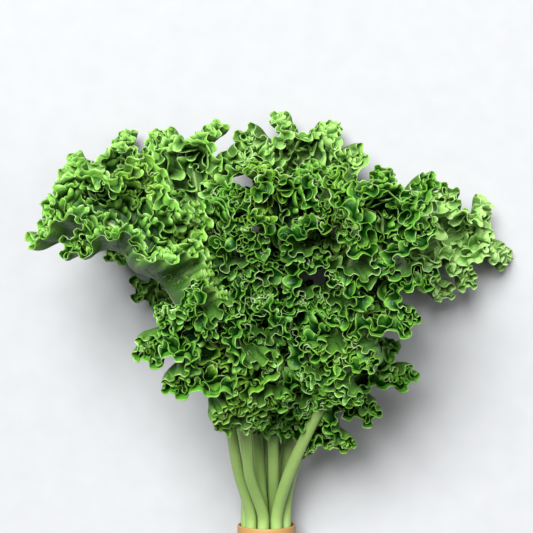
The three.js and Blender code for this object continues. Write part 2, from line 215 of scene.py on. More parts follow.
LEAVES = (
    LeafForm(
        name="left_front",
        slot=3,
        path=(
            (-20, 48, 52),
            (-26, 85, 71),
            (-37, 124, 90),
            (-57, 163, 104),
            (-80, 198, 110),
            (-105, 221, 110),
            (-122, 227, 104),
        ),
        face_base=(0.7, 0.1, -0.3),
        face_tip=(0.0, 0.35, 0.95),
        length=168.0,
        half_width=50.0,
        curl=1.35,
        waves=12,
        phase=0.4,
        tone=0.75,
        layer=Layer.TOP,
        frill=0.7,
    ),
    LeafForm(
        name="low_front",
        slot=2,
        path=(
            (-12, 45, 58),
            (-14, 75, 78),
            (-19, 107, 100),
            (-30, 133, 118),
            (-43, 151, 128),
            (-52, 161, 134),
        ),
        face_base=(0.1, 0.1, 1),
        face_tip=(0, -0.3, 1),
        length=114.0,
        half_width=50.0,
        curl=1.5,
        waves=10,
        phase=1.9,
        tone=0.15,
        layer=Layer.TOP,
        frill=0.75,
    ),
    LeafForm(
        name="right_front",
        slot=1,
        path=((17, 48, 54), (36, 92, 78), (57, 136, 96), (71, 177, 106), (77, 210, 112), (78, 232, 118)),
        face_base=(0, 0.3, 1),
        face_tip=(0, -0.2, 1),
        length=176.0,
        half_width=50.0,
        curl=1.6,
        waves=14,
        phase=0.9,
        tone=0.3,
        layer=Layer.TOP,
    ),
    LeafForm(
        name="left_mid",
        slot=10,
        path=((-5, 44, 34), (-10, 97, 48), (-23, 148, 58), (-34, 190, 66), (-39, 224, 72)),
        face_base=(0, 0.2, 1),
        face_tip=(0, -0.3, 1),
        length=140.0,
        half_width=46.0,
        curl=1.5,
        waves=11,
        phase=0.7,
        tone=0.05,
        layer=Layer.TOP,
    ),
    LeafForm(
        name="low_centre",
        slot=9,
        path=((5, 46, 42), (5, 84, 56), (9, 116, 66), (15, 138, 70), (18, 157, 74)),
        face_base=(0, 0.2, 1),
        face_tip=(0, -0.3, 1),
        length=104.0,
        half_width=42.0,
        curl=1.4,
        waves=9,
        phase=2.2,
        tone=0.0,
        layer=Layer.UNDER,
    ),
    LeafForm(
        name="centre",
        slot=11,
        path=((-2, 59, 28), (1, 111, 42), (5, 162, 58), (9, 204, 66), (11, 240, 72)),
        face_base=(0, 0.3, 1),
        face_tip=(0, -0.3, 1),
        length=154.0,
        half_width=48.0,
        curl=1.5,
        waves=12,
        phase=2.7,
        tone=0.0,
        layer=Layer.TOP,
    ),
    LeafForm(
        name="low_right",
        slot=0,
        path=((17, 38, 35), (26, 62, 42), (40, 87, 49), (56, 111, 56), (70, 134, 62)),
        face_base=(0, 0, 1),
        face_tip=(-0.2, -0.3, 1),
        length=104.0,
        half_width=42.0,
        curl=1.35,
        waves=9,
        phase=1.1,
        tone=0.15,
        layer=Layer.UNDER,
    ),
    LeafForm(
        name="upper_left",
        slot=4,
        path=((-13, 59, 28), (-22, 111, 38), (-35, 179, 44), (-46, 226, 46), (-53, 267, 50)),
        face_base=(0, 0.2, 1),
        face_tip=(0, -0.5, 1),
        length=150.0,
        half_width=50.0,
        curl=1.4,
        waves=10,
        phase=3.3,
        tone=0.85,
        layer=Layer.UNDER,
    ),
    LeafForm(
        name="left_back",
        slot=5,
        path=((-17, 49, 12), (-30, 93, 5.8), (-60, 164, 3.4), (-88, 226, 2.5), (-106, 263, 8)),
        face_base=(0, 0, 1),
        face_tip=(0.2, -0.4, 1),
        length=150.0,
        half_width=50.0,
        curl=1.4,
        waves=10,
        phase=5.1,
        tone=0.9,
        layer=Layer.UNDER,
    ),
    LeafForm(
        name="top_back",
        slot=6,
        path=((-3, 56, 8), (4, 123, 3.8), (13, 190, 3.2), (22, 244, 3.6), (28, 277, 10)),
        face_base=(0, 0, 1),
        face_tip=(0, -0.4, 1),
        length=154.0,
        half_width=56.0,
        curl=1.4,
        waves=11,
        phase=0.2,
        tone=1.0,
        layer=Layer.UNDER,
    ),
    LeafForm(
        name="upper_right",
        slot=8,
        path=((16, 59, 26), (33, 117, 32), (53, 176, 36), (68, 216, 38), (73, 241, 44)),
        face_base=(0, 0.2, 1),
        face_tip=(0, -0.4, 1),
        length=136.0,
        half_width=50.0,
        curl=1.4,
        waves=10,
        phase=4.4,
        tone=0.75,
        layer=Layer.UNDER,
    ),
    LeafForm(
        name="far_right",
        slot=7,
        path=((13, 56, 9), (38, 112, 4), (71, 168, 3.5), (113, 205, 4.2), (148, 220, 10)),
        face_base=(0, 0, 1),
        face_tip=(-0.3, -0.3, 1),
        length=122.0,
        half_width=48.0,
        curl=1.3,
        waves=9,
        phase=5.3,
        tone=1.25,
        layer=Layer.UNDER,
    ),
)


@dataclass(frozen=True)
class FrillRow:
    """One row of frill that stands on a blade.

    Attributes:
        out: share of the way out to the margin where its foot follows the blade.
        height: how far it stands up, in millimetres.
        lean: angle of the foot from the blade's normal towards the margin, in radians.
        bend: angle by which the sheet bends further over on the way up, in radians.
        cup: length of one cup along the foot, in millimetres.
    """

    out: float
    height: float
    lean: float
    bend: float
    cup: float


FRILLS = {
    Layer.TOP: (
        FrillRow(0.07, 11.5, -0.5, 1.0, 10.0),
        FrillRow(0.22, 13.0, -0.2, 1.1, 10.4),
        FrillRow(0.38, 13.5, -0.1, 1.2, 10.8),
        FrillRow(0.54, 13.5, 0.0, 1.2, 10.8),
        FrillRow(0.7, 12.0, 0.0, 1.1, 10.4),
        FrillRow(0.86, 9.0, 0.1, 0.9, 10.0),
    ),
    Layer.UNDER: (
        FrillRow(0.12, 13.0, -0.4, 1.1, 10.4),
        FrillRow(0.36, 14.5, -0.2, 1.2, 10.8),
        FrillRow(0.6, 14.0, 0.0, 1.2, 10.8),
        FrillRow(0.84, 10.0, 0.1, 0.9, 10.0),
    ),
}
FRILL_RISES = {Layer.TOP: (0.0, 0.38, 0.7, 1.0), Layer.UNDER: (0.0, 0.55, 1.0)}
RIM_COLUMNS = {Layer.TOP: 1008, Layer.UNDER: 720}  # of a blade's mesh
FRILL_FOLDS = (FoldLevel(1, 1.55, 0.0, 0.8, 0.0), FoldLevel(3, 0.45, 0.4, 1.0, math.pi))
CUP_SPACINGS = (Drift(1.1, 0.37, 1), Drift(0.6, 0.21, 2))
FRILL_LEAN = Drift(0.35, 0.43, 3)
FRILL_HEIGHT = Drift(0.22, 0.57, 5)
FRILL_BEND = Drift(0.5, 0.31, 4)


def smooth_step(low: float, high: float, value: np.ndarray) -> np.ndarray:
    """Hermite step from 0 at low to 1 at high."""
    share = np.clip((value - low) / (high - low), 0.0, 1.0)
    return share * share * (3.0 - 2.0 * share)


def unit(vectors: np.ndarray) -> np.ndarray:
    """Rows of an array, each scaled to length 1."""
    return vectors / np.maximum(np.linalg.norm(vectors, axis=-1, keepdims=True), TINY)


def run_lengths(steps: np.ndarray) -> np.ndarray:
    """Distances run at the ends of steps, from 0."""
    return np.concatenate([[0.0], np.cumsum(steps)])


def middles(count: int) -> np.ndarray:
    """Middles of equal parts of the span from 0 to 1."""
    return (np.arange(count) + 0.5) / count


def slot_point(slot: int, y: float) -> list[float]:
    """A stalk's place in the bundle, on one of two rings.

    Args:
        slot: number of the place, the outer ring first.
        y: distance along the bundle.

    Returns:
        The point.
    """
    inner = slot >= OUTER_SLOTS
    share = (slot - OUTER_SLOTS) / INNER_SLOTS if inner else (slot + 0.5) / OUTER_SLOTS
    radius = INNER_SLOT_RADIUS if inner else OUTER_SLOT_RADIUS
    angle = 2 * math.pi * share
    return [radius * math.cos(angle), y, BUNDLE_HEIGHT + radius * math.sin(angle)]


@dataclass
class MidribCurve:
    """Centripetal Catmull-Rom curve through points, read by distance along it.

    Attributes:
        points: points that it runs through, one row each.
        steps: points worked out for each span.
        tangent_reach: distance each side of a place that its direction is read over.
        end_margin: least distance of such a place from the ends.
        table: points worked out.
        distance: distances of these along the curve.
    """

    points: np.ndarray
    steps: int = 60
    tangent_reach: float = 0.5
    end_margin: float = 0.6
    table: np.ndarray = field(init=False)
    distance: np.ndarray = field(init=False)

    def __post_init__(self) -> None:
        """Works out the curve's points, span by span, as cubics with Catmull-Rom tangents."""
        p = self.points
        p = np.vstack([2 * p[0] - p[1], p, 2 * p[-1] - p[-2]])
        gap = np.sqrt(np.linalg.norm(np.diff(p, axis=0), axis=1))[:, None]
        u = np.linspace(0, 1, self.steps, endpoint=False)[:, None]
        parts = []
        for i in range(len(p) - 3):
            d0, d1, d2 = gap[i], gap[i + 1], gap[i + 2]
            x0, x1, x2, x3 = p[i : i + 4]
            t1 = ((x1 - x0) / d0 - (x2 - x0) / (d0 + d1) + (x2 - x1) / d1) * d1
            t2 = ((x2 - x1) / d1 - (x3 - x1) / (d1 + d2) + (x3 - x2) / d2) * d1
            c2 = -3 * x1 + 3 * x2 - 2 * t1 - t2
            c3 = 2 * x1 - 2 * x2 + t1 + t2
            parts.append(x1 + t1 * u + c2 * u**2 + c3 * u**3)
        self.table = np.vstack([*parts, p[-2]])
        self.distance = run_lengths(np.linalg.norm(np.diff(self.table, axis=0), axis=1))

    @property
    def total(self) -> float:
        """Length of the curve."""
        return float(self.distance[-1])

    def point(self, at: np.ndarray) -> np.ndarray:
        """Points at distances along the curve, held at its ends."""
        at = np.clip(at, 0, self.total)
        return np.stack([np.interp(at, self.distance, self.table[:, k]) for k in range(3)], -1)

    def tangent(self, at: np.ndarray) -> np.ndarray:
        """Unit directions at distances along the curve."""
        at = np.clip(at, self.end_margin, self.total - self.end_margin)
        return unit(self.point(at + self.tangent_reach) - self.point(at - self.tangent_reach))


def swing_series(fold: np.ndarray) -> tuple[np.ndarray, np.ndarray, np.ndarray]:
    """Shape of a curve whose direction swings by fold times a sine, from the Bessel series.

    Args:
        fold: largest angle of the swing, in radians.

    Returns:
        Mean advance for a length of 1, then height and lean as shares of the advance.
    """
    f2 = fold * fold
    mean = 1 - f2 / 4 + f2**2 / 64 - f2**3 / 2304
    height = fold * (1 - f2 / 8 + f2**2 / 192 - f2**3 / 9216)
    lean = (f2 / 8) * (1 - f2 / 12 + f2**2 / 384)
    return mean, height / mean, lean / mean


@dataclass
class FoldedSheet:
    """Points of a sheet, one row each, with what its next fold goes by.

    Attributes:
        point: points of the sheet.
        tangent: unit directions along its margin.
        normal: unit directions out of its upper face.
        phase: phase of the waves.
        length: length of one wave.
    """

    point: np.ndarray
    tangent: np.ndarray
    normal: np.ndarray
    phase: np.ndarray
    length: np.ndarray | float

    def fold(self, level: FoldLevel, grown: np.ndarray, strength: np.ndarray | float) -> None:
        """Swings the sheet's direction by angle * sin(phase), which carries it through a meander.

        Args:
            level: waves and angle of the fold.
            grown: share of the way out, or up, of each point.
            strength: share of the level's angle that the sheet turns through.
        """
        self.phase = self.phase * level.per_parent + level.offset
        self.length = self.length / level.per_parent
        angle = level.fold * strength * smooth_step(level.start, level.full, grown)
        mean, height, lean = swing_series(angle)
        scale = self.length / (2 * np.pi)
        self.point = self.point - self.normal * (scale * height * np.cos(self.phase))[:, None]
        self.point = self.point + self.tangent * (scale * lean * np.sin(2 * self.phase))[:, None]
        swing = (angle * np.sin(self.phase))[:, None]
        tangent = self.tangent * np.cos(swing) + self.normal * np.sin(swing)
        self.normal = self.normal * np.cos(swing) - self.tangent * np.sin(swing)
        self.tangent = tangent
        self.length = self.length / mean


@dataclass
class LeafSurface:
    """Maps places on a leaf's sheet to points in space.

    Attributes:
        form: sizes and place of the leaf.
        curve: curve of the stalk and midrib, from the cut end.
        base: distance along it to the base of the blade.
        turns: places on the outline, round the margin.
        lengths: distances of these along the margin.
        margin: length of the margin.
    """

    form: LeafForm
    curve: MidribCurve = field(init=False)
    base: float = field(init=False)
    turns: np.ndarray = field(init=False, repr=False)
    lengths: np.ndarray = field(init=False, repr=False)
    margin: float = field(init=False)

    def __post_init__(self) -> None:
        """Lays the midrib's curve and measures the margin of the flat outline."""
        form = self.form
        start = CUT_END_Y + CUT_END_SPREAD * math.sin(CUT_END_SHIFT * form.phase)
        straight = [slot_point(form.slot, y) for y in (start, *STRAIGHT_TO_Y)]
        self.curve = MidribCurve(np.array(straight + [list(p) for p in form.path], float))
        self.base = self.curve.total - form.length * RIB_SHARE
        limit = 1 - BASE_TRIM
        self.turns = np.linspace(-limit, limit, MARGIN_SAMPLES)
        across, along = self.outline(self.turns)
        self.lengths = run_lengths(np.hypot(np.diff(across), np.diff(along)))
        self.margin = float(self.lengths[-1])

    def outline(self, turn: np.ndarray) -> tuple[np.ndarray, np.ndarray]:
        """Flat outline: the width goes by a sine and the length by a cosine of powers of the turn.

        Args:
            turn: place on the outline, from -1 at the base, up one side, round the tip at 0, to 1.

        Returns:
            Places across and along the blade.
        """
        form = self.form
        share = np.abs(turn)
        across = form.half_width * np.sin(np.pi * share**WIDEST_POWER) ** FULLNESS_POWER
        along = form.length / 2 * (1 + np.cos(np.pi * share**TIP_POWER))
        return np.sign(turn) * across, along

    def turn(self, share: np.ndarray) -> np.ndarray:
        """Place on the outline of a share of the margin."""
        return np.interp(share * self.margin, self.lengths, self.turns)

    def flat(self, share: np.ndarray, out: np.ndarray) -> tuple[np.ndarray, np.ndarray]:
        """Flat place on the ray from the midrib to the margin.

        Args:
            share: place along the margin, 0 to 1.
            out: share of the way from the midrib to the margin.

        Returns:
            Places across and along the blade.
        """
        across, along = self.outline(self.turn(share))
        root = RIB_SHARE * along
        return across * out, root + (along - root) * out

    def ray(self, share: np.ndarray) -> np.ndarray:
        """Length of the ray from the midrib to the margin."""
        across, along = self.flat(share, np.ones_like(share))
        return np.hypot(across, along * (1 - RIB_SHARE))

    def frame(self, along: np.ndarray) -> tuple[np.ndarray, np.ndarray, np.ndarray, np.ndarray]:
        """Place and directions on the midrib. The upper face turns from base to tip by a smooth step.

        Args:
            along: distances from the base of the blade.

        Returns:
            Points, then unit directions forward, to the side and out of the upper face.
        """
        form = self.form
        at = self.base + along
        forward = self.curve.tangent(at)
        blend = smooth_step(0.0, form.length * RIB_SHARE, along)[..., None]
        low, high = unit(np.array(form.face_base, float)), unit(np.array(form.face_tip, float))
        face = low + (high - low) * blend
        up = unit(face - (face * forward).sum(-1, keepdims=True) * forward)
        return self.curve.point(at), forward, np.cross(forward, up), up

    def sheet(self, share: np.ndarray, out: np.ndarray) -> tuple[np.ndarray, ...]:
        """Points of the ruffled sheet, and the sheet's directions before its cups.

        The ray from the midrib rolls up by a smooth step of the share of the way out, so that the outer
        part stands on the blade. Each level of the folds then swings the sheet about the ray.

        Args:
            share: place along the margin, 0 to 1.
            out: share of the way from the midrib to the margin.

        Returns:
            Points in millimetres, then unit tangents, normals and ray directions, one row each.
        """
        form = self.form
        turn = self.turn(share)
        across, along = self.outline(turn)
        root = RIB_SHARE * along
        ray = np.hypot(across, along - root)
        middle, forward, side, up = self.frame(root)
        outward = side * (across / ray)[:, None] + forward * ((along - root) / ray)[:, None]
        turns = 2 * np.pi * share
        near_tip = np.exp(-((turn / TIP_SHARE) ** 2))
        unevenness = 1 + ROLL_UNEVENNESS.along(turns, form.waves, form.phase)
        curl = form.curl * unevenness * (1 - TIP_FLATTENING * near_tip)
        rolls = curl[:, None] * smooth_step(ROLL_START, ROLL_END, out[:, None] * middles(ROLL_STEPS))
        reach = (ray * out)[:, None]
        point = middle + outward * reach * np.cos(rolls).mean(1, keepdims=True)
        point = point + up * reach * np.sin(rolls).mean(1, keepdims=True)
        roll = (curl * smooth_step(ROLL_START, ROLL_END, out))[:, None]
        normal = up * np.cos(roll) - outward * np.sin(roll)
        heading = outward * np.cos(roll) + up * np.sin(roll)
        phase = form.waves * turns + form.phase
        phase = phase + RUFFLE_SPREAD.along(turns, 1, form.phase)
        phase = phase + RUFFLE_SPACING.along(turns, form.waves, form.phase)
        depth = 1 + RUFFLE_DEPTH.along(turns, form.waves, form.phase)
        strength = depth * np.minimum(1, ray / FULL_FOLD_RAY)
        length = self.margin / form.waves
        sheet = FoldedSheet(point, np.cross(outward, up), normal, phase, length)
        sheet.fold(BLADE_FOLDS[0], out, strength)
        directions = (sheet.tangent, sheet.normal, heading)
        for level in BLADE_FOLDS[1:]:
            sheet.fold(level, out, strength)
        return (above_table(sheet.point), *directions)

    def points(self, share: np.ndarray, out: np.ndarray) -> np.ndarray:
        """Points of the ruffled sheet, in millimetres."""
        return self.sheet(share, out)[0]


def above_table(points: np.ndarray) -> np.ndarray:
    """Points, with those that would reach the table lifted clear of it."""
    lifted = np.maximum(points[:, 2:], TABLE_CLEARANCE)
    return np.hstack([points[:, :2], lifted])


@dataclass
class MeshArrays:
    """Mesh as whole arrays.

    Attributes:
        vertices: points in millimetres, one row each.
        faces: vertex numbers, one row a face.
        looks: for each vertex of a leaf, its flat place across and along, the share of the way out, the
            distance to the rim, and its face of the leaf (1 upper, 0 back).
    """

    vertices: np.ndarray
    faces: np.ndarray
    looks: np.ndarray | None = None

    @classmethod
    def joined(cls, parts: list["MeshArrays"]) -> "MeshArrays":
        """Several meshes as one.

        Args:
            parts: the meshes.

        Returns:
            The mesh of all of them.
        """
        starts = np.cumsum([0] + [len(part.vertices) for part in parts])
        return cls(
            np.vstack([part.vertices for part in parts]),
            np.vstack([part.faces + start for part, start in zip(parts, starts)]),
            np.vstack([part.looks for part in parts]),
        )

    @classmethod
    def shell(
        cls, points: np.ndarray, sheet: np.ndarray, looks: np.ndarray, thickness: float
    ) -> "MeshArrays":
        """Two faces either side of a sheet, joined by a wall along its free edges.

        Each vertex moves out by half the thickness along the mean of its triangles' normals, weighted by
        their angles there. The sheet thins towards the rim.

        Args:
            points: middle of the sheet, one row a vertex.
            sheet: triangles of the sheet.
            looks: flat place across and along, share of the way out and distance to the rim.
            thickness: thickness of the sheet, in millimetres.

        Returns:
            The closed mesh.
        """
        corners = points[sheet]
        normal = unit(np.cross(corners[:, 1] - corners[:, 0], corners[:, 2] - corners[:, 0]))
        total = np.zeros_like(points)
        for k in range(3):
            e1 = unit(corners[:, (k + 1) % 3] - corners[:, k])
            e2 = unit(corners[:, (k + 2) % 3] - corners[:, k])
            angle = np.arccos(np.clip((e1 * e2).sum(1), -1, 1))[:, None]
            np.add.at(total, sheet[:, k], normal * angle)
        thinning = RIM_THINNING * smooth_step(RIM_START, 1.0, looks[:, OUT])
        half = (thickness / 2 * (1 - thinning))[:, None] * unit(total)
        count = len(points)
        edges = np.vstack([sheet[:, [0, 1]], sheet[:, [1, 2]], sheet[:, [2, 0]]])
        keys = edges[:, 0] * count + edges[:, 1]
        free = edges[~np.isin(keys, edges[:, 1] * count + edges[:, 0])]
        s, e = free[:, 0], free[:, 1]
        wall = np.vstack([np.stack([s, s + count, e], -1), np.stack([e, s + count, e + count], -1)])
        upper, back = np.ones((count, 1)), np.zeros((count, 1))
        return cls(
            np.vstack([points + half, points - half]),
            np.vstack([sheet, sheet[:, ::-1] + count, wall]),
            np.vstack([np.hstack([looks, upper]), np.hstack([looks, back])]),
        )


@dataclass
class BladeSheet:
    """Mesh of a blade: rows from the midrib to the margin, with more columns nearer to the rim.

    Attributes:
        surface: the leaf's surface.
        thickness: thickness of the sheet, in millimetres.
        rows: rows' shares of the way out, after the number that divides the rim's columns in them.
    """

    surface: LeafSurface
    thickness: float = 0.7
    rows: tuple[tuple[int, tuple[float, ...]], ...] = (
        (8, (0.0, 0.15, 0.3)),
        (4, (0.42, 0.54)),
        (2, (0.65, 0.74, 0.81)),
        (1, (0.87, 0.92, 0.965, 1.0)),
    )

    def mesh(self) -> MeshArrays:
        """Closed shell of the sheet. The two sides share their vertices on the midrib.

        Returns:
            The mesh.
        """
        rim = RIM_COLUMNS[self.surface.form.layer]
        outs = [(out, rim // divisor) for divisor, group in self.rows for out in group]
        share = np.concatenate([np.linspace(0, 1, columns + 1) for _, columns in outs])
        out = np.concatenate([np.full(columns + 1, value) for value, columns in outs])
        flat = np.stack(self.surface.flat(share, out), -1)
        looks = np.column_stack([flat, out, (1 - out) * self.surface.ray(share)])
        starts = np.cumsum([0] + [columns + 1 for _, columns in outs])
        ids = np.arange(len(share))
        count = outs[0][1]
        ids[: count + 1] = np.minimum(ids[: count + 1], count - ids[: count + 1])
        strips = []
        for low, middle, high in zip(starts[:-2], starts[1:-1], starts[2:]):
            strips += self.strip(ids[low:middle], ids[middle:high])
        sheet = np.vstack(strips)
        a, b, c = sheet.T
        sheet = sheet[(a != b) & (b != c) & (a != c)][:, ::-1]
        return MeshArrays.shell(self.surface.points(share, out), sheet, looks, self.thickness)

    @staticmethod
    def strip(inner: np.ndarray, outer: np.ndarray) -> list[np.ndarray]:
        """Triangles between two rows, the outer with as many columns as the inner, or twice as many.

        Args:
            inner: vertex numbers of the row nearer to the midrib.
            outer: vertex numbers of the row nearer to the rim.

        Returns:
            Arrays of triangles.
        """
        a, b = inner[:-1], inner[1:]
        if len(inner) == len(outer):
            p, q = outer[:-1], outer[1:]
            return [np.stack([a, p, q], -1), np.stack([a, q, b], -1)]
        p, q, s = outer[:-2:2], outer[1:-1:2], outer[2::2]
        return [np.stack([a, p, q], -1), np.stack([a, q, b], -1), np.stack([b, q, s], -1)]


@dataclass
class Frill:
    """Rows of cupped frill on the upper face of a blade.

    Attributes:
        surface: the leaf's surface.
        thickness: thickness of the sheet, in millimetres.
        foot_ends: shares of the margin between which a row runs.
        foot_samples: points that measure the length of a row's foot.
        least_cups: fewest cups in a row.
        columns_per_cup: columns of the mesh for each cup.
        row_phase: phase that sets a row's cups apart from those of its neighbours.
        end_share: share of the margin over which a row grows to its height.
        end_height: share of the height at its ends.
        bend_steps: steps that sum up the bend.
        scallops_per_cup: notches in the rim for each cup.
        scallop_depth: depth of a notch, as a share of the height.
        foot_out: share of the way out that the foot's colour goes by, which gives the foot its painted
            shade.
        flat_shift: share of the way out by which the rim's veins are shifted from the foot's.
    """

    surface: LeafSurface
    thickness: float = 0.45
    foot_ends: tuple[float, float] = (0.02, 0.98)
    foot_samples: int = 1500
    least_cups: int = 6
    columns_per_cup: int = 14
    row_phase: float = 1.7
    end_share: float = 0.05
    end_height: float = 0.35
    bend_steps: int = 6
    scallops_per_cup: int = 3
    scallop_depth: float = 0.3
    foot_out: float = 0.3
    flat_shift: float = 0.3

    def meshes(self) -> list[MeshArrays]:
        """Meshes of the rows that the leaf's layer has."""
        return [self.row(row, index) for index, row in enumerate(FRILLS[self.surface.form.layer])]

    def foot(self, row: FrillRow) -> tuple[np.ndarray, np.ndarray, int]:
        """Even spacing of a row's foot along the blade.

        Args:
            row: sizes of the row.

        Returns:
            Shares of the margin, the distances of these along the foot, and the number of cups.
        """
        share = np.linspace(*self.foot_ends, self.foot_samples)
        points = self.surface.points(share, np.full_like(share, row.out))
        run = run_lengths(np.linalg.norm(np.diff(points, axis=0), axis=1))
        cups = max(self.least_cups, round(run[-1] / (row.cup * self.surface.form.frill)))
        at = np.linspace(0, run[-1], cups * self.columns_per_cup + 1)
        return np.interp(at, run, share), at, cups

    def row(self, row: FrillRow, index: int) -> MeshArrays:
        """Closed shell of one row of frill.

        The foot follows the blade at a fixed share of the way out. The sheet rises from it, bends over
        towards the margin, and swings through cups and through crimps on the cups, both growing towards
        the rim.

        Args:
            row: sizes of the row.
            index: number of the row.

        Returns:
            The mesh.
        """
        form = self.surface.form
        own = form.phase + self.row_phase * index
        share, at, cups = self.foot(row)
        out = np.full_like(share, row.out)
        foot, tangent, normal, heading = self.surface.sheet(share, out)
        turns = 2 * np.pi * at / at[-1]
        cup_phase = cups * turns
        for drift in CUP_SPACINGS:
            cup_phase = cup_phase + drift.along(turns, cups, own)
        lean = row.lean + FRILL_LEAN.along(turns, cups, own)
        bend = row.bend * (1 + FRILL_BEND.along(turns, cups, own))
        rises_in = smooth_step(0.0, self.end_share, share)
        rises_in = rises_in * (1 - smooth_step(1 - self.end_share, 1.0, share))
        height = row.height * form.frill**0.5 * (1 + FRILL_HEIGHT.along(turns, cups, own))
        height = height * (self.end_height + (1 - self.end_height) * rises_in)
        notch = self.scallop_depth * (1 - np.abs(np.sin(self.scallops_per_cup / 2 * cup_phase)))
        points, looks = [], []
        rises = FRILL_RISES[form.layer]
        for rise in rises:
            notched = height * (1 - notch * rise**2)
            angles = lean[:, None] + bend[:, None] * rise * middles(self.bend_steps)
            upward = (notched * rise * np.cos(angles).mean(1))[:, None]
            over = (notched * rise * np.sin(angles).mean(1))[:, None]
            angle = (lean + bend * rise)[:, None]
            direction = normal * np.cos(angle) + heading * np.sin(angle)
            point = foot + normal * upward + heading * over
            across = np.cross(tangent, direction)
            sheet = FoldedSheet(point, tangent, across, cup_phase, at[-1] / cups)
            for level in FRILL_FOLDS:
                sheet.fold(level, np.float64(rise), 1.0)
            points.append(sheet.point)
            flat = np.stack(self.surface.flat(share, out + self.flat_shift * rise), -1)
            # The colour's share of the way out climbs from the foot to the rim, so the painted shade is
            # deepest at the foot.
            outs = np.full_like(share, self.foot_out + (1 - self.foot_out) * rise)
            looks.append(np.column_stack([flat, outs, (1 - rise) * notched]))
        width = len(share)
        a = (np.arange(len(rises) - 1)[:, None] * width + np.arange(width - 1)[None]).ravel()
        b, p, q = a + 1, a + width, a + width + 1
        triangles = (np.stack([a, b, q], -1), np.stack([a, q, p], -1))
        points = above_table(np.vstack(points))
        mesh = MeshArrays.shell(points, np.vstack(triangles), np.vstack(looks), self.thickness)
        mesh.looks[:, UPPER] = 1.0
        return mesh


@dataclass
class Stalk:
    """Stalk and midrib in one: a tube along the leaf's curve, thinner towards the tip.

    Attributes:
        surface: the leaf's surface.
        rings: rings of vertices along it.
        sides: vertices in a ring.
        reach: share of the midrib that it runs along.
        groove_depth: depth of the groove in its upper face, as a share of the radius.
        groove_width: width of the groove, as a share of the diameter.
        ridges: low ridges round it.
        ridge_height: height of a ridge, as a share of the radius.
    """

    surface: LeafSurface
    rings: int = 60
    sides: int = 14
    reach: float = 0.97
    groove_depth: float = 0.16
    groove_width: float = 0.28
    ridges: int = 5
    ridge_height: float = 0.03

    def mesh(self) -> MeshArrays:
        """Closed tube: rings round the curve, with a fan of triangles over each end.

        Returns:
            The mesh.
        """
        surface, rings, sides = self.surface, self.rings, self.sides
        end = surface.base + surface.form.length * RIB_SHARE * self.reach
        at = np.linspace(0, end, rings)
        middle, _, side, up = surface.frame(at - surface.base)
        radius = np.interp(at, [0, surface.base, end], STALK_RADII)
        angle = 2 * np.pi * np.arange(sides) / sides
        from_top = np.sin((angle - np.pi / 2) / 2) / self.groove_width
        groove = 1 - self.groove_depth * np.exp(-(from_top**2))
        ridge = 1 + self.ridge_height * np.cos(self.ridges * angle)
        r = radius[:, None] * (groove * ridge)[None]
        sideways = side[:, None] * (r * np.cos(angle))[..., None]
        upwards = up[:, None] * (r * np.sin(angle))[..., None]
        points = (middle[:, None] + sideways + upwards).reshape(-1, 3)
        ring = np.arange(sides)
        after = (ring + 1) % sides
        starts = np.arange(rings - 1)[:, None] * sides
        a, b = (starts + ring).ravel(), (starts + after).ravel()
        walls = (np.stack([a, b, b + sides], -1), np.stack([a, b + sides, a + sides], -1))
        low, high = np.full(sides, len(points)), np.full(sides, len(points) + 1)
        last = (rings - 1) * sides
        caps = (np.stack([low, after, ring], -1), np.stack([high, last + ring, last + after], -1))
        points = above_table(np.vstack([points, middle[0], middle[-1]]))
        return MeshArrays(points, np.vstack([*walls, *caps]))


@dataclass
class PieceFactory:
    """Turns millimetre arrays of the bunch's own frame into finished pieces.

    Attributes:
        shift: place of the bunch's own frame in the part's frame, in millimetres.
    """

    shift: np.ndarray

    def piece(
        self, name: str, node: str, mesh: MeshArrays, look: bpy.types.Material, slot: Slot
    ) -> bpy.types.Object:
        """Makes a mesh object at the origin that rides on the part and replaces one of its nodes.

        Args:
            name: name of the piece.
            node: node that it replaces.
            mesh: its mesh, without stray vertices.
            look: its material.
            slot: its material slot; not used.

        Returns:
            The piece.
        """
        data = bpy.data.meshes.new(name)
        places = ((mesh.vertices + self.shift) * MM).astype(np.float32)
        data.vertices.add(len(places))
        data.vertices.foreach_set("co", places.ravel())
        faces = mesh.faces.astype(np.int32)
        starts = np.arange(0, faces.size, faces.shape[1], dtype=np.int32)
        data.loops.add(faces.size)
        data.loops.foreach_set("vertex_index", faces.ravel())
        data.polygons.add(len(faces))
        data.polygons.foreach_set("loop_start", starts)
        data.polygons.foreach_set("use_smooth", np.ones(len(faces), bool))
        data.update(calc_edges=True)
        data.materials.append(look)
        piece = bpy.data.objects.new(name, data)
        bpy.context.scene.collection.objects.link(piece)
        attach(piece, "root")
        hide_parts(node)
        return piece


def without_strays(mesh: MeshArrays) -> MeshArrays:
    """The mesh without the vertices that none of its faces uses.

    Args:
        mesh: a leaf's mesh.

    Returns:
        The mesh with its vertices numbered anew.
    """
    used = np.unique(mesh.faces)
    numbers = np.full(len(mesh.vertices), -1)
    numbers[used] = np.arange(len(used))
    return MeshArrays(mesh.vertices[used], numbers[mesh.faces], mesh.looks[used])


def store(piece: bpy.types.Object, name: str, values: np.ndarray) -> None:
    """Stores a number for each vertex of a piece, or a place where values has two columns.

    Args:
        piece: the piece.
        name: name of the attribute.
        values: the numbers, one or one row a vertex.
    """
    if values.ndim == 1:
        layer = piece.data.attributes.new(name, "FLOAT", "POINT")
        layer.data.foreach_set("value", values.astype(np.float32))
        return
    layer = piece.data.attributes.new(name, "FLOAT_VECTOR", "POINT")
    places = np.column_stack([values, np.zeros(len(values))])
    layer.data.foreach_set("vector", places.astype(np.float32).ravel())


